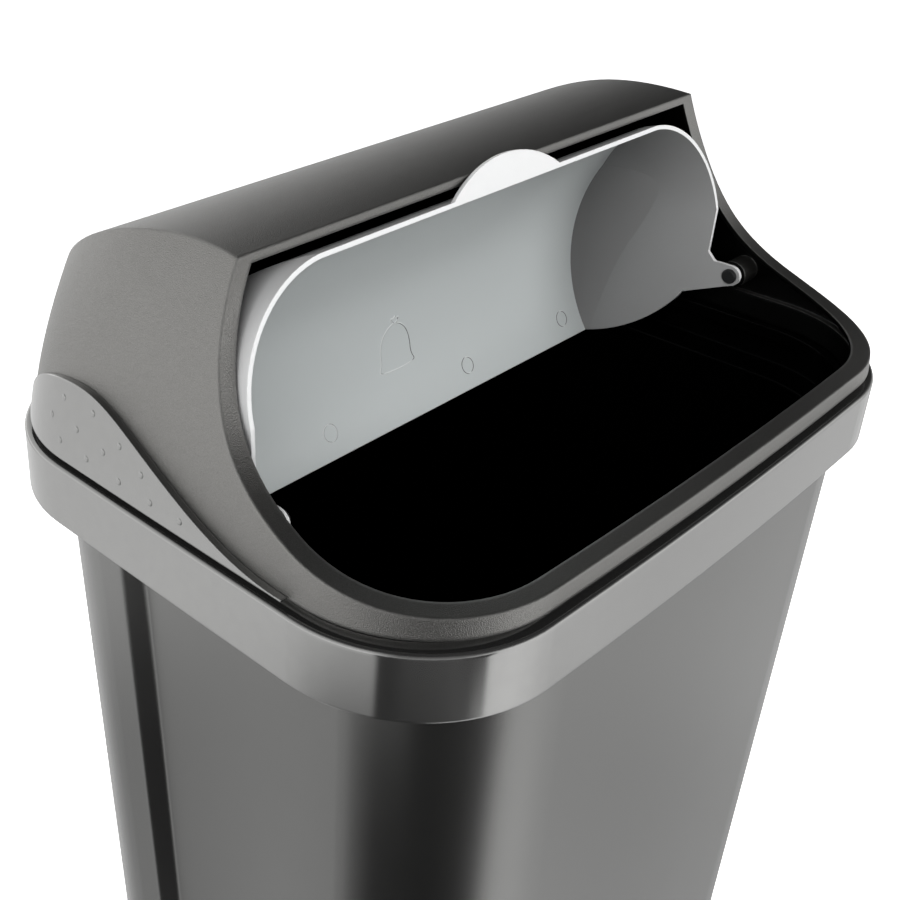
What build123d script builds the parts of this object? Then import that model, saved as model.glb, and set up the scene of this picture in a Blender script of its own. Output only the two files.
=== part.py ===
from build123d import *
import math
import os

# Kitchen bin with a roll-over flap: tub, rim collar, hood, two side grips, flap and its pins.
# Millimetres. X runs along the long side, the front faces -Y, Z is up, origin on the floor.

# overall sizes
rim_width = 400.0          # collar, left to right
rim_depth = 301.0          # collar, front to back
rim_height = 540.0         # floor to the top of the collar
corner_radius = 73.0       # collar corner seen from above
front_bow = 5.0            # how far the long sides swell at their middle
side_bow = 1.2             # the same for the short sides

# tub
tub_wall = 2.8
tub_front_inset = 4.2      # collar face to tub face, at the front
tub_back_inset = 14.5
tub_end_inset = 28.0       # collar face to the sunken end panel
tub_front_radius = 66.0
column_step = 8.0          # how far the back columns stand out from the end panels
column_width = 78.0        # column, measured from the tub's back face
step_run = 8.0             # length of the sloping step between panel and column
step_round = 2.5
tub_back_radius = 62.0
front_draft = 0.006        # slopes of the tub walls
end_draft = 0.028
back_draft = 0.040
floor_thickness = 3.2
foot_height = 4.0
foot_width = 9.0
foot_inset = 12.0
fit_gap = 0.5              # round the tub's shelf and upstand, inside the collar

# collar
collar_wall = 2.5
collar_height = 32.0
collar_edge_radius = 2.2
riser_wall = 2.0
ledge_width = 8.0          # flat top of the collar, seen as a dark line round the hood
seat_drop = 7.0            # collar top down to the hood's seat
seat_width = 16.0          # collar face to the inner edge of the seat
bag_lip_depth = 7.0

# hood
hood_wall = 2.5
hood_inset = 4.5           # collar face to hood face at its foot
shadow_gap = 4.0           # dark line between the collar and the hood
hood_top = 118.3           # crown above the collar
crown_radius = 166.0
crown_y = 6.0
hood_front_inset = 3.2     # the same at the front
hood_corner_growth = 44.0  # how much rounder the corners are at the top than at the foot
ridge_y = -12.0            # top edge of the opening
lip_height = 14.5          # front edge of the opening above the collar
lip_width = 9.0            # flange round the opening
ridge_lip = 5.0
ridge_height = 117.5       # front edge of the crown above the collar
scoop_brow = (-17.5, 85.0)     # three places on the scoop's edge: y and height above the collar
scoop_throat = (-36.0, 49.0)
scoop_heel = (-80.0, 22.0)
scoop_front_y = -160.0     # the edge is drawn on past the hood's face
hood_mid_height = 58.5     # three heights that set the lean of the end walls
hood_mid_inset = 11.6
hood_crease_height = 113.0
hood_crease_inset = 33.0
plan_overshoot = 4.0       # the walls are lofted past the crown, then cut by it

# side grips
grip_thickness = 3.6       # how far they stand out from the hood's leaning ends
grip_gap = 0.2
grip_low = 4.5             # lower edge above the collar
grip_tip = 0.8             # blunt height of both points
grip_front_y = -72.0
grip_top_curve = [(-38.0, 10.0), (-7.0, 22.0), (21.0, 35.0), (50.0, 44.5), (80.0, 41.0), (102.0, 30.0)]
grip_back_y = 124.0
grip_corner_growth = 6.0   # their back corner is rounder than the hood's, so they thin out there

# flap
pivot_y = -47.5
pivot_height = 19.3        # pin axis above the collar
flap_radius = 95.0
flap_wall = 2.2
flap_end_gap = 22.5        # collar face to the flap's end
flap_corner = 57.0         # corner of its rim, seen square to the rim
rim_reach = 4.5            # pin axis to the rim's plane
back_corner = 70.0         # the same corner deep inside, where the end walls lean in
back_width = 386.0         # leaning end walls deep inside: apart at the top
back_foot_width = 294.0    # and at the foot
form_foot = -70.0          # both outlines are drawn down to here, then cut
cone_length = 18.0         # the drum's ends taper so that they pass under the hood's leaning ends
cone_depth = 42.0
rim_slack = 0.05
open_angle = 71.3          # leading edge seen from the pin, from +Y
rear_angle = -34.0
lead_angle = 74.0          # lean of the rim
ear_radius = 5.8
ear_turn = 246.6           # where the ear's round ends, under the pin
neck_height = 10.5         # waist between the ear and the end wall
neck_depth = 4.5
neck_round = 2.0
flap_heel = (25.0, -16.3)  # foot of the end wall, seen from the pin
flap_notch = (25.8, -18.6)
flap_belly = (48.0, -41.5)
tab_width = 79.0
tab_height = 13.5

# pins
pin_radius = 3.0
pin_clearance = 0.08
pin_head_radius = 4.2
pin_head = 1.8
pin_end_play = 0.4
pin_length = 12.0
press_gap = 0.02
boss_radius = 7.5

seat_z = rim_height - seat_drop
pivot_z = rim_height + pivot_height
hood_foot_z = rim_height + shadow_gap
tub_top_z = rim_height - collar_height
flap_half_width = rim_width / 2 - flap_end_gap


def rounded_plan(half_x, back_y, front_y, radius, bow, end_bow):
    """Rectangle with gently swollen sides and round corners, seen from above."""
    mid_y = (back_y + front_y) / 2
    front_left = (-half_x + end_bow, front_y + bow)
    front_right = (half_x - end_bow, front_y + bow)
    back_right = (half_x - end_bow, back_y - bow)
    back_left = (-half_x + end_bow, back_y - bow)
    outline = (
        ThreePointArc(front_left, (0, front_y), front_right)
        + ThreePointArc(front_right, (half_x, mid_y), back_right)
        + ThreePointArc(back_right, (0, back_y), back_left)
        + ThreePointArc(back_left, (-half_x, mid_y), front_left)
    )
    plan = make_face(outline)
    return fillet(plan.vertices(), radius)


def collar_plan(inset):
    """The collar's outline moved inward by inset."""
    return rounded_plan(
        rim_width / 2 - inset,
        rim_depth / 2 - inset,
        -rim_depth / 2 + inset,
        corner_radius - inset,
        front_bow,
        side_bow,
    )


def prism(plan, low, high):
    return extrude(Pos(0, 0, low) * plan, high - low)


def ring(outer_inset, inner_inset, low, high):
    return prism(collar_plan(outer_inset), low, high) - prism(collar_plan(inner_inset), low - 1, high + 1)


def side_prism(profile, half_length):
    """A Y-Z outline carried along X, the same distance both ways."""
    return extrude(Plane.YZ * profile, half_length, both=True)


def tub_plan(drop, wall=0.0):
    """Tub outline at a drop below its top: sunken end panels and two wider columns at the back."""
    half_x = rim_width / 2 - tub_end_inset - wall - end_draft * drop
    column_x = half_x + column_step
    back_y = rim_depth / 2 - tub_back_inset - wall - back_draft * drop
    front_y = -rim_depth / 2 + tub_front_inset + wall + front_draft * drop
    step_y = rim_depth / 2 - tub_back_inset - column_width + wall - back_draft * drop
    front_left = (-half_x, front_y + front_bow)
    front_right = (half_x, front_y + front_bow)
    panel_y = step_y - step_run
    outline = ThreePointArc(front_left, (0, front_y), front_right) + Polyline(
        front_right, (half_x, panel_y), (column_x, step_y), (column_x, back_y),
        (-column_x, back_y), (-column_x, step_y), (-half_x, panel_y), front_left,
    )
    plan = make_face(outline)
    plan = fillet(plan.vertices().sort_by(Axis.Y)[:2], tub_front_radius - wall)
    plan = fillet(plan.vertices().sort_by(Axis.Y)[-2:], tub_back_radius - wall)
    steps = [v for v in plan.vertices() if panel_y - 1 < v.Y < step_y + 1]
    return fillet(steps, step_round)


def foot_plan(inset):
    """Rounded ring that the tub stands on, moved in from the drafted walls."""
    return rounded_plan(
        rim_width / 2 - tub_end_inset - end_draft * tub_top_z - inset,
        rim_depth / 2 - tub_back_inset - back_draft * tub_top_z - inset,
        -rim_depth / 2 + tub_front_inset + front_draft * tub_top_z + inset,
        tub_front_radius - inset,
        front_bow / 2,
        side_bow,
    )


def tub_body(wall, low, high):
    """Drafted solid of the tub outline between two heights."""
    foot = Pos(0, 0, low) * tub_plan(tub_top_z - low, wall)
    head = Pos(0, 0, high) * tub_plan(tub_top_z - high, wall)
    return loft([foot, head])


def make_tub():
    """Drafted tub with a foot ring, a flared shelf and an upstand that carries the collar's seat."""
    channel = collar_wall + fit_gap
    upstand = ledge_width + fit_gap
    tub = tub_body(0, foot_height, tub_top_z + tub_wall)
    tub += prism(collar_plan(channel), tub_top_z, tub_top_z + tub_wall)
    tub += ring(upstand, upstand + tub_wall, tub_top_z, seat_z - collar_wall)
    tub -= tub_body(tub_wall, foot_height + floor_thickness, tub_top_z + 2 * tub_wall)
    tub += prism(foot_plan(foot_inset), 0, foot_height)
    return tub - prism(foot_plan(foot_inset + foot_width), -1, foot_height)


def make_collar():
    """Skirt and ledge over the tub's shelf, the hood's seat on its upstand and a lip for the bag."""
    skirt = ring(0, collar_wall, tub_top_z, rim_height)
    ledge = ring(0, ledge_width, rim_height - collar_wall, rim_height)
    riser = ring(ledge_width - riser_wall, ledge_width, seat_z - collar_wall, rim_height)
    seat = ring(ledge_width - riser_wall, seat_width, seat_z - collar_wall, seat_z)
    bag_lip = ring(seat_width - riser_wall, seat_width, seat_z - bag_lip_depth, seat_z)
    collar = skirt + ledge + riser + seat + bag_lip
    top_face = collar.faces().filter_by(Axis.Z).group_by(Axis.Z)[-1][0]
    return fillet(top_face.outer_wire().edges(), collar_edge_radius)


def end_inset(height):
    """Inset of the hood's end walls at a height above the collar: one arc through three points."""
    x1, z1 = hood_inset, shadow_gap
    x2, z2 = hood_mid_inset, hood_mid_height
    x3, z3 = hood_crease_inset, hood_crease_height
    a = (x2 - x1) / (z2 - z1)
    b = ((x3 - x1) / (z3 - z1) - a) / (z3 - z2)
    return x1 + a * (height - z1) + b * (height - z1) * (height - z2)


def hood_plan(height, wall, growth=0.0):
    """Hood outline at a height above the collar: ends lean in, corners grow rounder upwards."""
    rise = (height - shadow_gap) / (hood_top - shadow_gap)
    radius = corner_radius - hood_inset + hood_corner_growth * rise - wall + growth
    return rounded_plan(
        rim_width / 2 - end_inset(height) - wall,
        rim_depth / 2 - hood_inset - wall,
        -rim_depth / 2 + hood_front_inset + wall,
        radius, front_bow, side_bow,
    )


def hood_plans(wall, growth=0.0):
    """Outlines that the hood's walls are lofted through, up to a little over the crown."""
    top = hood_top + plan_overshoot
    plans = []
    for share in (0, 0.25, 0.5, 0.75, 1):
        height = shadow_gap + (top - shadow_gap) * share
        plans.append(Pos(0, 0, rim_height + height) * hood_plan(height, wall, growth))
    return plans


def scoop_edge(back_off):
    """Concave side edge of the opening, from the ridge down to the front lip."""
    ridge = (ridge_y, ridge_height)
    lip = (scoop_front_y, lip_height)
    shifts = [(1, -0.3), (1, -0.2), (0.7, -0.7), (0.3, -1), (0, -1)]
    points = []
    for (y, height), (back, down) in zip([ridge, scoop_brow, scoop_throat, scoop_heel, lip], shifts):
        points.append((y + back_off * back, rim_height + height + back_off * down))
    return Spline(*points)


def hood_side(inset):
    """Side view of the hood: scooped front, round crown and upright back."""
    crown_z = rim_height + hood_top - inset
    arc_r = crown_radius - inset
    centre_z = crown_z - arc_r
    foot = hood_foot_z
    back = rim_depth / 2
    scoop = scoop_edge(inset)
    top = scoop @ 0
    lip = scoop @ 1
    ridge = (top.X, centre_z + math.sqrt(arc_r ** 2 - (top.X - crown_y) ** 2))
    crown = (crown_y, crown_z)
    back_z = centre_z + math.sqrt(arc_r ** 2 - (back - crown_y) ** 2)
    outline = (
        scoop
        + Polyline((lip.X, lip.Y), (lip.X, foot), (back, foot), (back, back_z))
        + ThreePointArc((back, back_z), ((back + crown_y) / 2, centre_z + math.sqrt(
            arc_r ** 2 - ((back - crown_y) / 2) ** 2)), ridge)
        + Line(ridge, (top.X, top.Y))
    )
    return make_face(outline)


def hood_solid(inset):
    return loft(hood_plans(inset)) & side_prism(hood_side(inset), rim_width)


def both_ends(piece):
    return [piece, piece.mirror(Plane.YZ)]


def opening_tool():
    """What the opening removes: the hood's inside, a lip's width in from its faces."""
    low = hood_foot_z + hood_wall
    high = rim_height + hood_top - ridge_lip
    window = Pos(0, ridge_y + 2 * hood_wall, low) * Box(
        rim_width, rim_depth, high - low, align=(Align.CENTER, Align.MAX, Align.MIN))
    return loft(hood_plans(lip_width)) & window


def pin_boss():
    """Round boss on the right end wall that the pin is pressed into."""
    near = flap_half_width + pin_end_play
    wall_x = rim_width / 2 - end_inset(pivot_height) - hood_wall / 2 - side_bow
    return Pos(near, pivot_y, pivot_z) * Rot(0, 90, 0) * Cylinder(
        boss_radius, wall_x - near, align=(Align.CENTER, Align.CENTER, Align.MIN))


def pin_bore():
    """Blind hole for the pin's shank, with a little room past its end."""
    near = flap_half_width - flap_wall
    return Pos(near, pivot_y, pivot_z) * Rot(0, 90, 0) * Cylinder(
        pin_radius + press_gap, pin_length - pin_head, align=(Align.CENTER, Align.CENTER, Align.MIN))


def make_hood():
    """Textured hood: one shell with a scooped opening, a foot skirt and two pin bosses."""
    shell = hood_solid(0) - hood_solid(hood_wall)
    shell -= opening_tool()
    skirt_outer = ledge_width + fit_gap
    skirt_inner = skirt_outer + hood_wall
    skirt = ring(skirt_outer, skirt_inner, seat_z, hood_foot_z + hood_wall)
    shoulder = prism(hood_plan(shadow_gap, hood_wall / 2), hood_foot_z, hood_foot_z + hood_wall)
    shoulder -= prism(collar_plan(skirt_inner), seat_z, rim_height + hood_top)
    hood = shell + skirt + shoulder
    for boss in both_ends(pin_boss()):
        hood += boss
    for bore in both_ends(pin_bore()):
        hood -= bore
    return hood


def grip_side():
    """Side view of a grip: a long point at the front, an S up to its crest, a short point at the back."""
    foot = rim_height + grip_low
    curve = [(y, rim_height + height) for y, height in grip_top_curve]
    front_tip = (grip_front_y, foot + grip_tip)
    back_tip = (grip_back_y, foot + grip_tip)
    top_line = Spline(front_tip, *curve, back_tip)
    return make_face(top_line + Polyline(back_tip, (grip_back_y, foot), (grip_front_y, foot), front_tip))


def make_grip(side):
    """Gloss grip: a slice of even thickness that lies on one end wall of the hood."""
    block = loft(hood_plans(-grip_thickness, grip_corner_growth)) & side_prism(grip_side(), rim_width)
    block -= loft(hood_plans(-grip_gap))
    half = Pos(side * rim_width / 2, 0, rim_height) * Box(rim_width, rim_depth * 2, rim_height)
    return block & half


def flap_outline(top_width, foot_width, corner, wall):
    """The flap seen square to its rim: flat at the top, with round corners and straight ends."""
    top = flap_radius + rim_slack - wall
    half_top = top_width / 2 - wall
    half_foot = foot_width / 2 - wall
    corners = [(-half_top, top), (half_top, top), (half_foot, form_foot), (-half_foot, form_foot)]
    outline = make_face(Polyline(*corners, close=True))
    return fillet(outline.vertices().sort_by(Axis.Y)[-2:], corner - wall)


def flap_roller(wall):
    """Roller round the pin with tapered ends: the room that the flap turns in."""
    half = flap_half_width - wall
    radius = flap_radius - wall
    waist = half - cone_length
    outline = make_face(Polyline(
        (-half, 0), (half, 0), (half, radius - cone_depth), (waist, radius),
        (-waist, radius), (-half, radius - cone_depth), close=True))
    return revolve(Plane.XZ * outline, Axis.X)


def flap_form(wall):
    """Solid drum of the flap: its roller, with ends that lean in behind the rim."""
    lead = math.radians(lead_angle)
    inward = Vector(0, math.sin(lead), -math.cos(lead))
    rim_plane = Plane(origin=inward * rim_reach, x_dir=(-1, 0, 0), z_dir=inward)
    back_plane = Plane(origin=inward * (flap_radius + rim_reach), x_dir=(-1, 0, 0), z_dir=inward)
    rim = rim_plane * flap_outline(2 * flap_half_width, 2 * flap_half_width, flap_corner, wall)
    back = back_plane * flap_outline(back_width, back_foot_width, back_corner, wall)
    ends = loft([rim, back], ruled=True) + extrude(rim, -2 * flap_corner)
    return flap_roller(wall) & ends


def polar(radius, degrees):
    """Point at a distance and an angle, in a Y-Z side view about the pin."""
    angle = math.radians(degrees)
    return (radius * math.cos(angle), radius * math.sin(angle))


def flap_side():
    """Side view of the flap about its pin: ear at the pin, leading edge up, rear edge down."""
    lead = math.radians(lead_angle)
    reach = flap_radius * 1.6
    top = polar(flap_radius, open_angle)
    beyond = (top[0] + flap_corner * math.cos(lead), top[1] + flap_corner * math.sin(lead))
    elbow = (top[0] - flap_corner * math.cos(lead), top[1] - flap_corner * math.sin(lead))
    neck = (elbow[0], neck_height)
    waist = (neck[0] - neck_depth, ear_radius)
    ear_top = (0, ear_radius)
    ear_end = polar(ear_radius, ear_turn)
    rear_end = polar(flap_radius + 2 * flap_wall, rear_angle)
    outline = (
        Polyline(beyond, elbow, neck, waist, ear_top)
        + ThreePointArc(ear_top, (-ear_radius, 0), ear_end)
        + Polyline(ear_end, flap_heel, flap_notch)
        + ThreePointArc(flap_notch, flap_belly, rear_end)
        + Polyline(rear_end, (reach, rear_end[1]), (reach, beyond[1]), beyond)
    )
    side = make_face(outline)
    necks = [v for v in side.vertices() if abs(v.X - neck[0]) < 0.01 or abs(v.X - waist[0]) < 0.01]
    return fillet(necks, neck_round)


def flap_tab():
    """Round finger tab that stands out from the middle of the leading edge."""
    lead = math.radians(lead_angle)
    along = Vector(0, math.cos(lead), math.sin(lead))
    root = Vector(0, *polar(flap_radius, open_angle)) - along * flap_wall
    half = tab_width / 2
    plate = make_face(
        ThreePointArc((-half, flap_wall), (0, tab_height + flap_wall), (half, flap_wall))
        + Polyline((half, flap_wall), (half, 0), (-half, 0), (-half, flap_wall)))
    plane = Plane(origin=root, x_dir=(1, 0, 0), z_dir=Vector(1, 0, 0).cross(along))
    return extrude(plane * plate, -flap_wall)


def make_flap():
    """Roll-over flap: a curved panel with round end walls, ears on the pins and a finger tab."""
    shell = flap_form(0) - flap_form(flap_wall)
    flap = shell & side_prism(flap_side(), rim_width)
    flap += flap_tab()
    flap -= Rot(0, 90, 0) * Cylinder(pin_radius + pin_clearance, rim_width)
    return Pos(0, pivot_y, pivot_z) * flap


def make_pin(side):
    """Headed pin: its head holds the flap's ear against the boss."""
    start = flap_half_width - flap_wall - pin_end_play - pin_head
    head = Pos(start, 0, 0) * Rot(0, 90, 0) * Cylinder(
        pin_head_radius, pin_head, align=(Align.CENTER, Align.CENTER, Align.MIN))
    head = chamfer(head.edges().sort_by(Axis.X)[0], pin_head / 3)
    shank = Pos(start, 0, 0) * Rot(0, 90, 0) * Cylinder(
        pin_radius, pin_length, align=(Align.CENTER, Align.CENTER, Align.MIN))
    pin = Pos(0, pivot_y, pivot_z) * (head + shank)
    return pin if side > 0 else pin.mirror(Plane.YZ)


if __name__ == "__main__":
    os.makedirs("parts", exist_ok=True)
    pieces = {
        "tub": make_tub(),
        "rim_collar": make_collar(),
        "hood": make_hood(),
        "grip_left": make_grip(-1),
        "grip_right": make_grip(1),
        "flap": make_flap(),
        "flap_pin_left": make_pin(-1),
        "flap_pin_right": make_pin(1),
    }
    for name, piece in pieces.items():
        export_step(piece, f"parts/{name}.step")
        print(name, len(piece.solids()), round(piece.volume), piece.is_valid)
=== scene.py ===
import math

import bpy
from mathutils import Matrix, Vector
from mathutils.bvhtree import BVHTree


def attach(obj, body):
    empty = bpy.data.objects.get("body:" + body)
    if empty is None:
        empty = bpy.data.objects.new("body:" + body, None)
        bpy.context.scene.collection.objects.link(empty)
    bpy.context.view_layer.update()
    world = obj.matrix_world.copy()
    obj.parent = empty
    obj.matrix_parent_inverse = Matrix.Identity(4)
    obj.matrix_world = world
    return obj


# Looks of the swing-lid bin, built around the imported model.
# Metres: X along the long side, the front faces -Y, Z up, origin on the floor.

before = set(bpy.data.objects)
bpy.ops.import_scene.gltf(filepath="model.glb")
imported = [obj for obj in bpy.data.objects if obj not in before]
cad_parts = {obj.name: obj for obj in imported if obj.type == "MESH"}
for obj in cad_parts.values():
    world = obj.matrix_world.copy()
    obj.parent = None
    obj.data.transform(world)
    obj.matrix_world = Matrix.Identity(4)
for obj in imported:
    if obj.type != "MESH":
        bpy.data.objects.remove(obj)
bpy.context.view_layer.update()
print("frame loaded:", ", ".join(sorted(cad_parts)))

mm = 0.001
rimHeight = 0.540                       # top of the collar
binCentre = (0.0, 0.0, 0.536)           # outer faces look away from here, inner faces towards it
flapPin = (0.0, -0.0475, 0.5593)        # middle of the line through the flap's two pins


# small helpers for node trees

def addNode(tree, kind, x, y, **settings):
    node = tree.nodes.new(kind)
    node.location = (x, y)
    for name, value in settings.items():
        setattr(node, name, value)
    return node


def feed(tree, socket, value):
    if isinstance(value, bpy.types.NodeSocket):
        tree.links.new(value, socket)
    else:
        socket.default_value = value


def startGroup(name, inputs, outputs):
    tree = bpy.data.node_groups.new(name, "ShaderNodeTree")
    for label, kind, default in inputs:
        socket = tree.interface.new_socket(name=label, in_out="INPUT", socket_type=kind)
        socket.default_value = default
    for label, kind in outputs:
        tree.interface.new_socket(name=label, in_out="OUTPUT", socket_type=kind)
    entry = addNode(tree, "NodeGroupInput", -900, 0)
    leave = addNode(tree, "NodeGroupOutput", 900, 0)
    return tree, entry, leave


def placeGroup(tree, group, x, y, **values):
    node = addNode(tree, "ShaderNodeGroup", x, y, node_tree=group)
    for label, value in values.items():
        node.inputs[label].default_value = value
    return node


def mathNode(tree, operation, x, y, *values):
    node = addNode(tree, "ShaderNodeMath", x, y, operation=operation)
    for slot, value in enumerate(values):
        feed(tree, node.inputs[slot], value)
    return node.outputs[0]


def vectorNode(tree, operation, x, y, *values):
    node = addNode(tree, "ShaderNodeVectorMath", x, y, operation=operation)
    for slot, value in enumerate(values):
        feed(tree, node.inputs[slot], value)
    return node.outputs["Value" if operation in ("DOT_PRODUCT", "LENGTH") else "Vector"]


def rangeNode(tree, x, y, source, start, full, **settings):
    node = addNode(tree, "ShaderNodeMapRange", x, y, **settings)
    node.inputs["From Min"].default_value = start
    node.inputs["From Max"].default_value = full
    tree.links.new(source, node.inputs["Value"])
    return node.outputs["Result"]


def mixNode(tree, x, y, factor, first, second, **settings):
    node = addNode(tree, "ShaderNodeMix", x, y, **settings)
    feed(tree, node.inputs["Factor"], factor)
    feed(tree, node.inputs["A"], first)
    feed(tree, node.inputs["B"], second)
    return node.outputs["Result"]


# fine pebble grain of a spark-eroded mould, as a height, with the noise that makes it uneven

pebbles = {
    "unevenShare": 0.8,         # scale of that noise, as a share of the cells' scale
    "unevenDetail": 3.0,
}


def buildPebbleGroup():
    tree, entry, leave = startGroup(
        "pebbleGrain",
        [("Cells", "NodeSocketFloat", 1100.0), ("Softness", "NodeSocketFloat", 0.5)],
        [("Height", "NodeSocketFloat"), ("Speckle", "NodeSocketFloat")],
    )
    link = tree.links.new
    place = addNode(tree, "ShaderNodeTexCoord", -900, 300)
    cells = addNode(tree, "ShaderNodeTexVoronoi", -600, 200, feature="SMOOTH_F1")
    cells.inputs["Randomness"].default_value = 1.0
    link(place.outputs["Object"], cells.inputs["Vector"])
    link(entry.outputs["Cells"], cells.inputs["Scale"])
    link(entry.outputs["Softness"], cells.inputs["Smoothness"])
    uneven = addNode(tree, "ShaderNodeTexNoise", -600, -150)
    uneven.inputs["Detail"].default_value = pebbles["unevenDetail"]
    link(place.outputs["Object"], uneven.inputs["Vector"])
    unevenScale = mathNode(tree, "MULTIPLY", -780, -200, entry.outputs["Cells"], pebbles["unevenShare"])
    link(unevenScale, uneven.inputs["Scale"])
    dome = mathNode(tree, "SUBTRACT", -380, 200, 1.0, cells.outputs["Distance"])
    height = mathNode(tree, "MULTIPLY", -180, 100, dome, uneven.outputs["Fac"])
    link(height, leave.inputs["Height"])
    link(uneven.outputs["Fac"], leave.inputs["Speckle"])
    return tree


# slow change of tone across a moulding, and faint handling marks in its gloss

toneClouds = {
    "detail": 5.0,
    "roughness": 0.62,
    "smudgeScale": 34.0,
    "smudgeDetail": 8.0,
}


def buildToneGroup():
    tree, entry, leave = startGroup(
        "mouldedTone",
        [("Light", "NodeSocketColor", (0.3, 0.3, 0.3, 1)),
         ("Dark", "NodeSocketColor", (0.2, 0.2, 0.2, 1)),
         ("Size", "NodeSocketFloat", 9.0),
         ("Smudge", "NodeSocketFloat", 0.06),
         ("Roughness", "NodeSocketFloat", 0.4)],
        [("Color", "NodeSocketColor"), ("Roughness", "NodeSocketFloat")],
    )
    link = tree.links.new
    place = addNode(tree, "ShaderNodeTexCoord", -900, 300)
    clouds = addNode(tree, "ShaderNodeTexNoise", -600, 250)
    clouds.inputs["Detail"].default_value = toneClouds["detail"]
    clouds.inputs["Roughness"].default_value = toneClouds["roughness"]
    link(place.outputs["Object"], clouds.inputs["Vector"])
    link(entry.outputs["Size"], clouds.inputs["Scale"])
    tone = mixNode(tree, -300, 200, clouds.outputs["Fac"], entry.outputs["Light"], entry.outputs["Dark"],
                   data_type="RGBA")
    link(tone, leave.inputs["Color"])
    smudges = addNode(tree, "ShaderNodeTexNoise", -600, -200)
    smudges.inputs["Detail"].default_value = toneClouds["smudgeDetail"]
    smudges.inputs["Scale"].default_value = toneClouds["smudgeScale"]
    link(place.outputs["Object"], smudges.inputs["Vector"])
    centred = mathNode(tree, "SUBTRACT", -380, -200, smudges.outputs["Fac"], 0.5)
    spread = mathNode(tree, "MULTIPLY", -200, -200, centred, entry.outputs["Smudge"])
    roughness = mathNode(tree, "ADD", 0, -200, spread, entry.outputs["Roughness"])
    link(roughness, leave.inputs["Roughness"])
    return tree


# rounded normals along moulded edges, with a mask of those edges

mouldEdges = {
    "samples": 6,
    "flat": 1.0,            # cosine between the rounded and the plain normal: below this the mask starts
    "sharp": 0.85,          # and here it is full
}


def buildEdgeGroup():
    tree, entry, leave = startGroup(
        "mouldedEdge",
        [("Radius", "NodeSocketFloat", 0.0008)],
        [("Normal", "NodeSocketVector"), ("Edge", "NodeSocketFloat")],
    )
    link = tree.links.new
    rounded = addNode(tree, "ShaderNodeBevel", -500, 100, samples=mouldEdges["samples"])
    link(entry.outputs["Radius"], rounded.inputs["Radius"])
    plain = addNode(tree, "ShaderNodeNewGeometry", -500, -150)
    turn = vectorNode(tree, "DOT_PRODUCT", -250, -50, rounded.outputs["Normal"], plain.outputs["Normal"])
    link(rounded.outputs["Normal"], leave.inputs["Normal"])
    link(rangeNode(tree, 0, -50, turn, mouldEdges["flat"], mouldEdges["sharp"]), leave.inputs["Edge"])
    return tree


# mask of the faces that look inward, towards a centre inside the bin, where painted shade darkens the tone

insideBlend = 0.001         # metres from the centre to a face's plane, at which the mask is full or empty


def buildInsideShadeGroup():
    tree, entry, leave = startGroup(
        "insideFaces",
        [("Centre", "NodeSocketVector", binCentre)],
        [("Mask", "NodeSocketFloat")],
    )
    place = addNode(tree, "ShaderNodeTexCoord", -900, 200)
    arm = vectorNode(tree, "SUBTRACT", -600, 100, place.outputs["Object"], entry.outputs["Centre"])
    facing = vectorNode(tree, "DOT_PRODUCT", -300, 100, arm, place.outputs["Normal"])
    tree.links.new(rangeNode(tree, 0, 100, facing, insideBlend, -insideBlend), leave.inputs["Mask"])
    return tree


# masks of the two kinds of inner face in the flap, and how far back a point lies, which place the painted
# shade inside the flap

flapShadeMasks = {
    "panel": (-0.75, -0.90),        # cosine between the normal and the way out from the pins: start and full
    "ends": (-0.06, -0.20),         # the same for the normal and the way out to the nearer end
}


def buildFlapShadeGroup():
    tree, entry, leave = startGroup(
        "flapShadeFaces",
        [("Pin", "NodeSocketVector", flapPin)],
        [("Panel", "NodeSocketFloat"), ("Ends", "NodeSocketFloat"), ("Depth", "NodeSocketFloat")],
    )
    link = tree.links.new
    place = addNode(tree, "ShaderNodeTexCoord", -900, 200)
    arm = vectorNode(tree, "SUBTRACT", -700, 100, place.outputs["Object"], entry.outputs["Pin"])
    radial = vectorNode(tree, "MULTIPLY", -500, 100, arm, (0.0, 1.0, 1.0))
    outward = vectorNode(tree, "NORMALIZE", -300, 100, radial)
    facing = vectorNode(tree, "DOT_PRODUCT", -100, 100, outward, place.outputs["Normal"])
    link(rangeNode(tree, 200, 200, facing, *flapShadeMasks["panel"]), leave.inputs["Panel"])
    across = addNode(tree, "ShaderNodeSeparateXYZ", -500, -200)
    link(arm, across.inputs[0])
    turn = addNode(tree, "ShaderNodeSeparateXYZ", -500, -400)
    link(place.outputs["Normal"], turn.inputs[0])
    side = mathNode(tree, "SIGN", -300, -200, across.outputs["X"])
    endward = mathNode(tree, "MULTIPLY", -100, -300, side, turn.outputs["X"])
    link(rangeNode(tree, 200, -200, endward, *flapShadeMasks["ends"]), leave.inputs["Ends"])
    link(across.outputs["Y"], leave.inputs["Depth"])
    return tree


pebbleGrain = buildPebbleGroup()
insideFaces = buildInsideShadeGroup()
flapShadeFaces = buildFlapShadeGroup()
mouldedTone = buildToneGroup()
mouldedEdge = buildEdgeGroup()
print("shader groups built")


# materials: light and dark are the two ends of the tone, and toneSize is the scale of its clouds
# smudge is how far the gloss wanders, and speckle how much of the grain shows in the tone
# the edge lift is a painted highlight, which makes rounded edges paler, and the inside share is painted
# shade: the share of the tone left on inner faces

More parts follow.
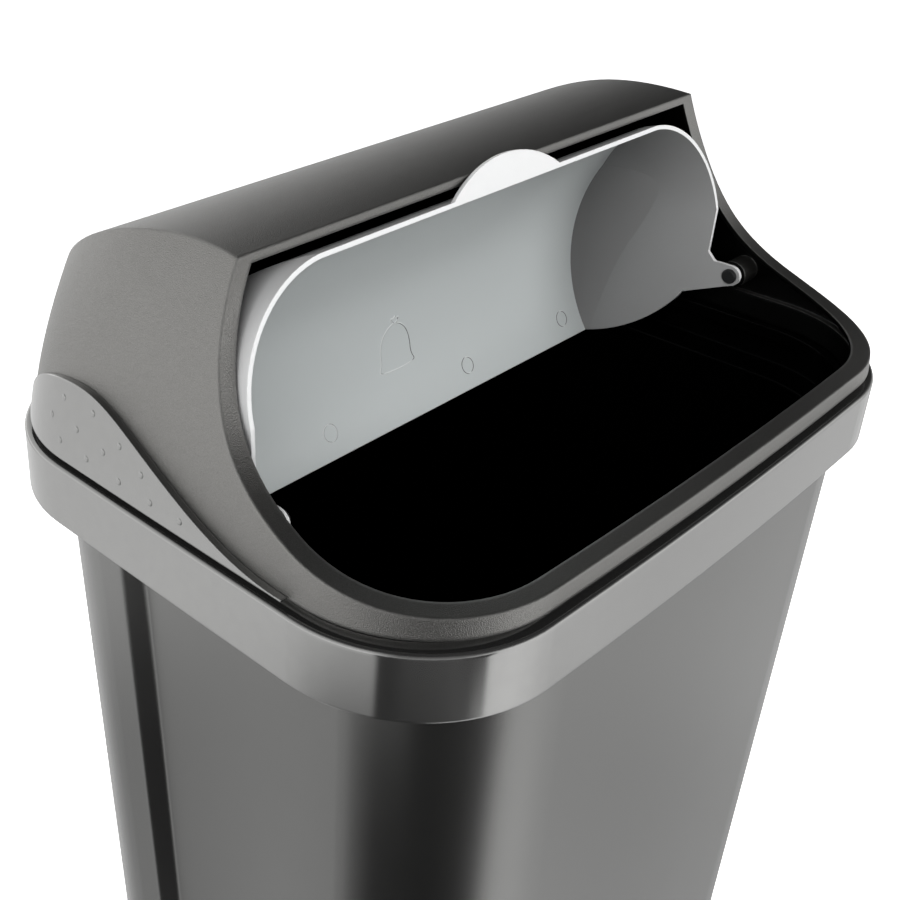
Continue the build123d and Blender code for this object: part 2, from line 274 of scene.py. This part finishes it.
plasticFinishes = {
    "hoodPebble": dict(
        light=(0.350, 0.345, 0.331), dark=(0.320, 0.315, 0.304), toneSize=5.0, speckle=0.45, inside=0.03,
        metallic=0.95, roughness=0.31, smudge=0.04, coat=0.0, edgeRadius=0.0022, edgeHighlight=0.10,
        cells=2500.0, softness=0.30, grainDepth=0.0003, grainStrength=0.85),
    "tubSatin": dict(
        light=(0.262, 0.262, 0.256), dark=(0.242, 0.242, 0.237), toneSize=3.0, speckle=0.25, inside=0.02,
        metallic=0.95, roughness=0.24, smudge=0.04, coat=0.0, edgeRadius=0.0020, edgeHighlight=0.03,
        cells=1700.0, softness=0.6, grainDepth=0.00008, grainStrength=0.5),
    "collarGloss": dict(
        light=(0.395, 0.395, 0.388), dark=(0.390, 0.390, 0.383), toneSize=4.0, speckle=0.08, inside=0.03,
        metallic=0.95, roughness=0.12, smudge=0.01, coat=0.1, edgeRadius=0.0010, edgeHighlight=0.08,
        cells=240.0, softness=1.0, grainDepth=0.00002, grainStrength=0.05),
    "flapWhite": dict(
        light=(0.900, 0.905, 0.905), dark=(0.885, 0.890, 0.892), toneSize=3.0, speckle=0.03, inside=1.0,
        metallic=0.0, roughness=0.30, smudge=0.01, coat=0.1, edgeRadius=0.0007, edgeHighlight=0.03,
        cells=200.0, softness=1.0, grainDepth=0.00002, grainStrength=0.05),
    "pinBlack": dict(
        light=(0.020, 0.020, 0.021), dark=(0.012, 0.012, 0.013), toneSize=60.0, speckle=0.25, inside=1.0,
        metallic=0.0, roughness=0.30, smudge=0.10, coat=0.1, edgeRadius=0.0004, edgeHighlight=0.03,
        cells=2500.0, softness=0.6, grainDepth=0.00004, grainStrength=0.3),
}

sharedFinish = {
    "coatRoughness": 0.12,
    "specular": 0.5,
    "edgeHighlightColour": (1, 1, 1, 1),
}

# painted shade inside the white flap: the tones its inner faces are painted with
flapPaintedShade = {
    "panel": (0.620, 0.655, 0.655, 1),      # inside of the curved panel
    "endNear": (0.400, 0.400, 0.400, 1),    # inside of the end walls, by the rim
    "endDeep": (0.170, 0.170, 0.170, 1),    # and by the panel
    "nearDepth": -0.010,
    "deepDepth": 0.085,
}


def makePlastic(name, finish):
    material = bpy.data.materials.new(name)
    material.use_nodes = True
    tree = material.node_tree
    tree.nodes.clear()
    link = tree.links.new
    leave = addNode(tree, "ShaderNodeOutputMaterial", 900, 0)
    shader = addNode(tree, "ShaderNodeBsdfPrincipled", 600, 0)
    link(shader.outputs["BSDF"], leave.inputs["Surface"])
    shader.inputs["Metallic"].default_value = finish["metallic"]
    shader.inputs["Coat Weight"].default_value = finish["coat"]
    shader.inputs["Coat Roughness"].default_value = sharedFinish["coatRoughness"]
    shader.inputs["Specular IOR Level"].default_value = sharedFinish["specular"]
    tone = placeGroup(tree, mouldedTone, -600, 250, Light=(*finish["light"], 1), Dark=(*finish["dark"], 1),
                      Size=finish["toneSize"], Smudge=finish["smudge"], Roughness=finish["roughness"])
    edge = placeGroup(tree, mouldedEdge, -600, -50, Radius=finish["edgeRadius"])
    grain = placeGroup(tree, pebbleGrain, -600, -300, Cells=finish["cells"], Softness=finish["softness"])
    inside = placeGroup(tree, insideFaces, 0, 450)
    speckled = mixNode(tree, -300, 250, finish["speckle"], tone.outputs["Color"], grain.outputs["Speckle"],
                       data_type="RGBA", blend_type="MULTIPLY")
    # painted highlight: white is added along the rounded edges, by the edge mask
    lift = mathNode(tree, "MULTIPLY", -300, 50, edge.outputs["Edge"], finish["edgeHighlight"])
    edgeHighlighted = mixNode(tree, 0, 250, lift, speckled, sharedFinish["edgeHighlightColour"],
                    data_type="RGBA", blend_type="ADD")
    # painted shade: inner faces keep only this share of the tone
    share = finish["inside"]
    shaded = mixNode(tree, 300, 300, inside.outputs["Mask"], edgeHighlighted, (share, share, share, 1),
                     data_type="RGBA", blend_type="MULTIPLY")
    link(shaded, shader.inputs["Base Color"])
    link(tone.outputs["Roughness"], shader.inputs["Roughness"])
    bump = addNode(tree, "ShaderNodeBump", 300, -250)
    bump.inputs["Strength"].default_value = finish["grainStrength"]
    bump.inputs["Distance"].default_value = finish["grainDepth"]
    link(grain.outputs["Height"], bump.inputs["Height"])
    link(edge.outputs["Normal"], bump.inputs["Normal"])
    link(bump.outputs["Normal"], shader.inputs["Normal"])
    return material


# painted shade: the flap's inner faces are painted greyer than its rim and outside, and its end walls darker
# towards the panel

def paintFlapInsideShade(material):
    tree = material.node_tree
    shader = next(node for node in tree.nodes if node.type == "BSDF_PRINCIPLED")
    outer = shader.inputs["Base Color"].links[0].from_socket
    faces = placeGroup(tree, flapShadeFaces, 0, 750)
    depth = rangeNode(tree, 200, 900, faces.outputs["Depth"], flapPaintedShade["nearDepth"], flapPaintedShade["deepDepth"])
    ends = mixNode(tree, 400, 900, depth, flapPaintedShade["endNear"], flapPaintedShade["endDeep"], data_type="RGBA")
    withPanel = mixNode(tree, 400, 600, faces.outputs["Panel"], outer, flapPaintedShade["panel"], data_type="RGBA")
    withEnds = mixNode(tree, 600, 700, faces.outputs["Ends"], withPanel, ends, data_type="RGBA")
    tree.links.new(withEnds, shader.inputs["Base Color"])


plastics = {name: makePlastic(name, finish) for name, finish in plasticFinishes.items()}
paintFlapInsideShade(plastics["flapWhite"])

nodeFinishes = {
    "tub": "tubSatin",
    "rim_collar": "collarGloss",
    "hood": "hoodPebble",
    "grip_left": "collarGloss",
    "grip_right": "collarGloss",
    "flap": "flapWhite",
    "flap_pin_left": "pinBlack",
    "flap_pin_right": "pinBlack",
}

for nodeName, finishName in nodeFinishes.items():
    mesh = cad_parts[nodeName].data
    if not mesh.materials:
        mesh.materials.append(None)
    for slot in range(len(mesh.materials)):
        mesh.materials[slot] = plastics[finishName]
print("plastics placed on the nodes")


# a piece made of verts and faces, riding on a body

def meshObject(name, verts, faces, finishName, body):
    mesh = bpy.data.meshes.new(name)
    mesh.from_pydata([tuple(v) for v in verts], [], faces)
    mesh.update()
    for polygon in mesh.polygons:
        polygon.use_smooth = True
    mesh.materials.append(plastics[finishName])
    piece = bpy.data.objects.new(name, mesh)
    bpy.context.scene.collection.objects.link(piece)
    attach(piece, body)
    return piece


# raised grip dots on the leaf-shaped grips

gripDots = {
    "radius": 1.7 * mm,
    "height": 0.6 * mm,
    "sunk": 0.1,            # share of the height that lies in the grip
    "rings": 5,
    "segments": 16,
    "castFrom": 0.3,        # each dot is cast onto the grip from this far out along X
    # mm along Y, and mm above the collar's top
    "places": [(67.6, 36), (77.3, 24), (46, 37), (57, 25), (69.8, 14.5), (27, 29.5),
               (38, 22), (50, 13.5), (12, 22.5), (27, 12.5), (6, 12), (-13, 12)],
}


def makeGripDots(name, side, gripNode):
    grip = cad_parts[gripNode].data
    corners = [v.co for v in grip.vertices]
    surface = BVHTree.FromPolygons(corners, [tuple(p.vertices) for p in grip.polygons])
    rings = gripDots["rings"]
    segments = gripDots["segments"]
    verts = []
    faces = []
    for y, height in gripDots["places"]:
        start = len(verts)
        eye = Vector((side * gripDots["castFrom"], y * mm, rimHeight + height * mm))
        centre, normal, _, _ = surface.ray_cast(eye, Vector((-side, 0, 0)))
        lengthwise = normal.cross(Vector((0, 0, 1))).normalized()
        upward = lengthwise.cross(normal)
        for ring in range(rings):
            lean = math.pi / 2 * ring / rings
            out = gripDots["height"] * (math.sin(lean) - gripDots["sunk"])
            reach = gripDots["radius"] * math.cos(lean)
            for step in range(segments):
                turn = 2 * math.pi * step / segments
                verts.append(centre + normal * out + lengthwise * reach * math.cos(turn)
                             + upward * reach * math.sin(turn))
        verts.append(centre + normal * gripDots["height"] * (1 - gripDots["sunk"]))
        top = len(verts) - 1
        for ring in range(rings):
            base = start + ring * segments
            above = base + segments
            for step in range(segments):
                after = (step + 1) % segments
                if ring < rings - 1:
                    faces.append((base + after, base + step, above + step, above + after))
                else:
                    faces.append((base + after, base + step, top))
    return meshObject(name, verts, faces, "collarGloss", "lid")


makeGripDots("gripDotsLeft", -1, "grip_left")
makeGripDots("gripDotsRight", 1, "grip_right")
print("grip dots made")


# raised mould marks inside the flap, laid on its curved panel

mouldMarks = {
    "panelRadius": 0.0928,          # inside of the panel, from the pins
    "ridgeWidth": 0.85 * mm,
    "ridgeHeight": 0.30 * mm,
    # across the ridge in half widths, and up in heights: the feet lie in the panel
    "ridgeProfile": [(-1, -0.15), (-0.6, 0.75), (0, 1), (0.6, 0.75), (1, -0.15)],
    "circleRadius": 4.6 * mm,
    "circleSteps": 40,
    # mm along X, and mm along the curve of the panel, up from the height of the pins
    "circles": [(-59.5, -44.5), (50.8, -44.8), (140.0, -45.2)],
    "sackCentre": (-2.0, -15.0),
    "sackOutline": [(-14.5, -13.0), (-11.5, -8.5), (-11.8, -1.0), (-9.5, 6.0), (-5.0, 10.2),
                    (-1.2, 11.6), (1.2, 11.6), (5.0, 10.2), (9.5, 6.0), (11.8, -1.0), (11.5, -8.5),
                    (14.5, -13.0), (7.0, -13.9), (0.0, -14.1), (-7.0, -13.9)],
    "sackTie": [(-1.3, 11.8), (-3.4, 15.0), (-0.8, 14.4), (0.0, 16.2), (0.8, 14.4), (3.4, 15.0),
                (1.3, 11.8)],
    "smoothPasses": 3,
    "cornerShare": 0.25,            # each pass cuts this share off both ends of a run
}


def onPanel(x, along, lift):
    radius = mouldMarks["panelRadius"] - lift
    angle = along / mouldMarks["panelRadius"]
    return Vector((x, flapPin[1] + radius * math.cos(angle), flapPin[2] + radius * math.sin(angle)))


def smoothLoop(points):
    near = mouldMarks["cornerShare"]
    far = 1 - near
    for _ in range(mouldMarks["smoothPasses"]):
        cut = []
        for (ax, ay), (bx, by) in zip(points, points[1:] + points[:1]):
            cut.append((ax * far + bx * near, ay * far + by * near))
            cut.append((ax * near + bx * far, ay * near + by * far))
        points = cut
    return points


def ridgeAlong(points, verts, faces):
    start = len(verts)
    count = len(points)
    half = mouldMarks["ridgeWidth"] / 2
    profile = mouldMarks["ridgeProfile"]
    for step, (x, along) in enumerate(points):
        ax, ay = points[step - 1]
        bx, by = points[(step + 1) % count]
        length = math.hypot(bx - ax, by - ay)
        sideX = (by - ay) / length
        sideY = -(bx - ax) / length
        for across, up in profile:
            verts.append(onPanel(x + sideX * across * half, along + sideY * across * half,
                                 up * mouldMarks["ridgeHeight"]))
    width = len(profile)
    for step in range(count):
        here = start + step * width
        after = start + (step + 1) % count * width
        for lane in range(width - 1):
            faces.append((here + lane, here + lane + 1, after + lane + 1, after + lane))


def makeMouldMarks():
    verts = []
    faces = []
    steps = mouldMarks["circleSteps"]
    radius = mouldMarks["circleRadius"]
    for x, along in mouldMarks["circles"]:
        loop = []
        for step in range(steps):
            turn = 2 * math.pi * step / steps
            loop.append((x * mm + radius * math.cos(turn), along * mm + radius * math.sin(turn)))
        ridgeAlong(loop, verts, faces)
    cx, cy = mouldMarks["sackCentre"]
    for outline in (mouldMarks["sackOutline"], mouldMarks["sackTie"]):
        loop = [((cx + x) * mm, (cy + y) * mm) for x, y in smoothLoop(outline)]
        ridgeAlong(loop, verts, faces)
    return meshObject("flapMouldMarks", verts, faces, "flapWhite", "flap")


makeMouldMarks()
print("mould marks made")


# pale floor, and walls of light in the world, which the glossy plastics reflect
# turns are (degrees from +X, strength), and walls are (height of the ray, strength)

studio = {
    "floorSize": 14.0,
    "floorColour": (0.80, 0.80, 0.80, 1),
    "floorSeen": (2.0, 2.0, 2.0, 1),        # for the camera the floor is lighter than it is for the bin,
    "floorGlow": 0.66,                      # and this much is added, which makes it white even in the shadow
    "floorShine": 1.0,                      # what the glossy plastics see of the floor
    "shineCentre": (-0.127, -0.077, 0.0),
    "nearReach": 0.50,                      # up to here from that centre the near turns hold
    "farReach": 0.78,                       # and from here the far ones
    # painted reflection: the floor's shine is dark before the front left corner, like a dark card there, and
    # at the left, turns about 110 to 200, the near turns are darker: a painted shadow of the bin on the
    # floor, seen only in reflections
    "nearTurns": [(0, 0.70), (90, 0.80), (118, 0.42), (135, 0.78), (147, 0.55), (160, 0.20),
                  (176, 0.03), (225, 0.01), (245, 0.04), (259, 0.15), (269, 0.85), (275, 1.2),
                  (292, 1.15), (307, 0.90), (330, 0.60)],
    "farTurns": [(0, 0.60), (90, 0.85), (140, 0.95), (165, 0.90), (185, 0.78), (201.5, 0.74),
                 (203.5, 0.02), (212, 0.03), (222, 0.08), (250, 0.11), (266, 0.04), (269.5, 0.02),
                 (271, 1.1), (285, 1.2), (300, 1.15), (330, 0.75)],
    "wallLight": 1.40,
    "sideWall": [(0.0, 1.0), (0.10, 1.0), (0.18, 0.60), (0.55, 0.55), (0.85, 0.02)],
    "sideTurns": [(0, 0.0), (30, 0.0), (38, 0.06), (46, 0.35), (60, 0.85), (75, 1.0), (200, 1.0),
                  (215, 0.3), (250, 0.3), (280, 0.0), (360, 0.0)],
    "frontWall": [(0.0, 1.0), (0.14, 0.95), (0.30, 0.40), (0.50, 0.03)],
    "frontTurns": [(0, 0.0), (200, 0.0), (215, 0.3), (250, 0.3), (280, 1.0), (325, 0.9), (345, 0.3),
                   (360, 0.1)],
    "backWall": [(0.0, 0.50), (0.05, 0.25), (0.16, 0.02), (1.0, 0.01)],
    "skySeen": 1.0,                         # white behind the floor, for the camera alone
}


def rampNode(tree, stops, span, x, y, source):
    ramp = addNode(tree, "ShaderNodeValToRGB", x, y)
    marks = ramp.color_ramp.elements
    while len(marks) < len(stops):
        marks.new(0.5)
    for mark, (place, _) in zip(marks, stops):
        mark.position = place / span
    for mark, (_, value) in zip(marks, stops):
        mark.color = (value, value, value, 1)
    tree.links.new(source, ramp.inputs["Fac"])
    return ramp.outputs["Color"]


# direction round the vertical axis as a share of a full turn from +X, and the height of the ray

def turnAndHeight(tree, source, x, y):
    parts = addNode(tree, "ShaderNodeSeparateXYZ", x, y)
    tree.links.new(source, parts.inputs[0])
    angle = mathNode(tree, "ARCTAN2", x + 200, y, parts.outputs["Y"], parts.outputs["X"])
    share = mathNode(tree, "DIVIDE", x + 350, y, angle, 2 * math.pi)
    raised = mathNode(tree, "ADD", x + 420, y - 100, share, 1.0)
    return mathNode(tree, "FRACT", x + 500, y, raised), parts.outputs["Z"]


def makeFloorMaterial():
    material = bpy.data.materials.new("paleFloor")
    material.use_nodes = True
    tree = material.node_tree
    tree.nodes.clear()
    link = tree.links.new
    leave = addNode(tree, "ShaderNodeOutputMaterial", 900, 0)
    path = addNode(tree, "ShaderNodeLightPath", -600, 400)
    # what the camera and the matt surfaces see
    matt = addNode(tree, "ShaderNodeBsdfDiffuse", 0, 100)
    tint = mixNode(tree, -200, 500, path.outputs["Is Camera Ray"], studio["floorColour"], studio["floorSeen"],
                   data_type="RGBA", clamp_result=False)
    link(tint, matt.inputs["Color"])
    glow = addNode(tree, "ShaderNodeEmission", 0, -100)
    seen = mathNode(tree, "MAXIMUM", -300, 300,
                    path.outputs["Is Camera Ray"], path.outputs["Is Transmission Ray"])
    link(mathNode(tree, "MULTIPLY", -150, 200, seen, studio["floorGlow"]), glow.inputs["Strength"])
    both = addNode(tree, "ShaderNodeAddShader", 300, 0)
    link(matt.outputs[0], both.inputs[0])
    link(glow.outputs[0], both.inputs[1])
    # what the glossy surfaces see
    place = addNode(tree, "ShaderNodeTexCoord", -1500, -400)
    arm = vectorNode(tree, "SUBTRACT", -1300, -400, place.outputs["Object"], studio["shineCentre"])
    turn, _ = turnAndHeight(tree, arm, -1100, -400)
    nearRing = rampNode(tree, studio["nearTurns"], 360, -500, -400, turn)
    farRing = rampNode(tree, studio["farTurns"], 360, -500, -600, turn)
    reach = vectorNode(tree, "LENGTH", -1100, -700, arm)
    far = rangeNode(tree, -800, -700, reach, studio["nearReach"], studio["farReach"],
                    interpolation_type="SMOOTHSTEP")
    ring = mixNode(tree, -100, -500, far, nearRing, farRing)
    shine = addNode(tree, "ShaderNodeEmission", 300, -400)
    link(mathNode(tree, "MULTIPLY", 100, -500, ring, studio["floorShine"]), shine.inputs["Strength"])
    pick = addNode(tree, "ShaderNodeMixShader", 600, 0)
    link(path.outputs["Is Glossy Ray"], pick.inputs[0])
    link(both.outputs[0], pick.inputs[1])
    link(shine.outputs[0], pick.inputs[2])
    link(pick.outputs[0], leave.inputs["Surface"])
    return material


def makeFloor():
    half = studio["floorSize"] / 2
    corners = [(-half, -half, 0), (half, -half, 0), (half, half, 0), (-half, half, 0)]
    mesh = bpy.data.meshes.new("floor")
    mesh.from_pydata(corners, [], [(0, 1, 2, 3)])
    mesh.materials.append(makeFloorMaterial())
    floor = bpy.data.objects.new("floor", mesh)
    bpy.context.scene.collection.objects.link(floor)


def makeWorld():
    world = bpy.data.worlds.new("studioLight")
    bpy.context.scene.world = world
    world.use_nodes = True
    tree = world.node_tree
    tree.nodes.clear()
    link = tree.links.new
    leave = addNode(tree, "ShaderNodeOutputWorld", 900, 0)
    place = addNode(tree, "ShaderNodeTexCoord", -1500, 0)
    turn, height = turnAndHeight(tree, place.outputs["Generated"], -1300, 0)
    walls = []
    for row, side in enumerate(("side", "front")):
        share = rampNode(tree, studio[side + "Turns"], 360, -600, 300 - 400 * row, turn)
        rise = rampNode(tree, studio[side + "Wall"], 1, -600, 150 - 400 * row, height)
        walls.append(mathNode(tree, "MULTIPLY", -300, 200 - 400 * row, share, rise))
    back = rampNode(tree, studio["backWall"], 1, -600, -600, height)
    total = mathNode(tree, "MAXIMUM", -150, 0, *walls)
    total = mathNode(tree, "MAXIMUM", 0, -100, total, back)
    light = addNode(tree, "ShaderNodeBackground", 300, 100)
    light.inputs["Color"].default_value = (1, 1, 1, 1)
    link(mathNode(tree, "MULTIPLY", 150, 0, total, studio["wallLight"]), light.inputs["Strength"])
    seen = addNode(tree, "ShaderNodeBackground", 300, -100)
    seen.inputs["Color"].default_value = (1, 1, 1, 1)
    seen.inputs["Strength"].default_value = studio["skySeen"]
    path = addNode(tree, "ShaderNodeLightPath", 300, 400)
    pick = addNode(tree, "ShaderNodeMixShader", 600, 0)
    link(path.outputs["Is Camera Ray"], pick.inputs[0])
    link(light.outputs[0], pick.inputs[1])
    link(seen.outputs[0], pick.inputs[2])
    link(pick.outputs[0], leave.inputs["Surface"])


softLamps = {
    "leftLamp": dict(place=(-1.7, -1.0, 1.7), aim=(0.0, 0.0, 0.55), size=1.3, power=26.0),
    "frontLamp": dict(place=(0.9, -2.0, 1.5), aim=(0.0, 0.0, 0.55), size=1.3, power=25.0),
}


def makeLamps():
    for name, lamp in softLamps.items():
        data = bpy.data.lights.new(name, "AREA")
        data.shape = "SQUARE"
        data.size = lamp["size"]
        data.energy = lamp["power"]
        holder = bpy.data.objects.new(name, data)
        holder.location = lamp["place"]
        away = Vector(lamp["place"]) - Vector(lamp["aim"])
        holder.rotation_euler = away.to_track_quat("Z", "Y").to_euler()
        holder.visible_glossy = False
        bpy.context.scene.collection.objects.link(holder)


makeFloor()
makeWorld()
makeLamps()
print("floor and light made")


# camera at the photograph's viewing angle

view = {
    "place": (-0.4734, -0.3511, 0.8503),
    "azimuth": -43.24,          # degrees that it is turned from looking along +Y
    "elevation": 28.66,         # degrees that it looks down
    "lens": 51.69,
    "sensor": 36.0,
    "shift": (0.2142, -0.0667),
    "clipStart": 0.01,
}


def makeCamera():
    data = bpy.data.cameras.new("photoView")
    data.sensor_width = view["sensor"]
    data.lens = view["lens"]
    data.shift_x, data.shift_y = view["shift"]
    data.clip_start = view["clipStart"]
    camera = bpy.data.objects.new("photoView", data)
    around = math.radians(view["azimuth"])
    down = math.radians(view["elevation"])
    ahead = Vector((-math.sin(around) * math.cos(down), math.cos(around) * math.cos(down), -math.sin(down)))
    right = Vector((math.cos(around), math.sin(around), 0))
    upward = right.cross(ahead)
    turn = Matrix((right, upward, -ahead)).transposed().to_4x4()
    camera.matrix_world = Matrix.Translation(view["place"]) @ turn
    bpy.context.scene.collection.objects.link(camera)
    bpy.context.scene.camera = camera


makeCamera()
bpy.context.scene.view_settings.view_transform = "Standard"
print("camera set")
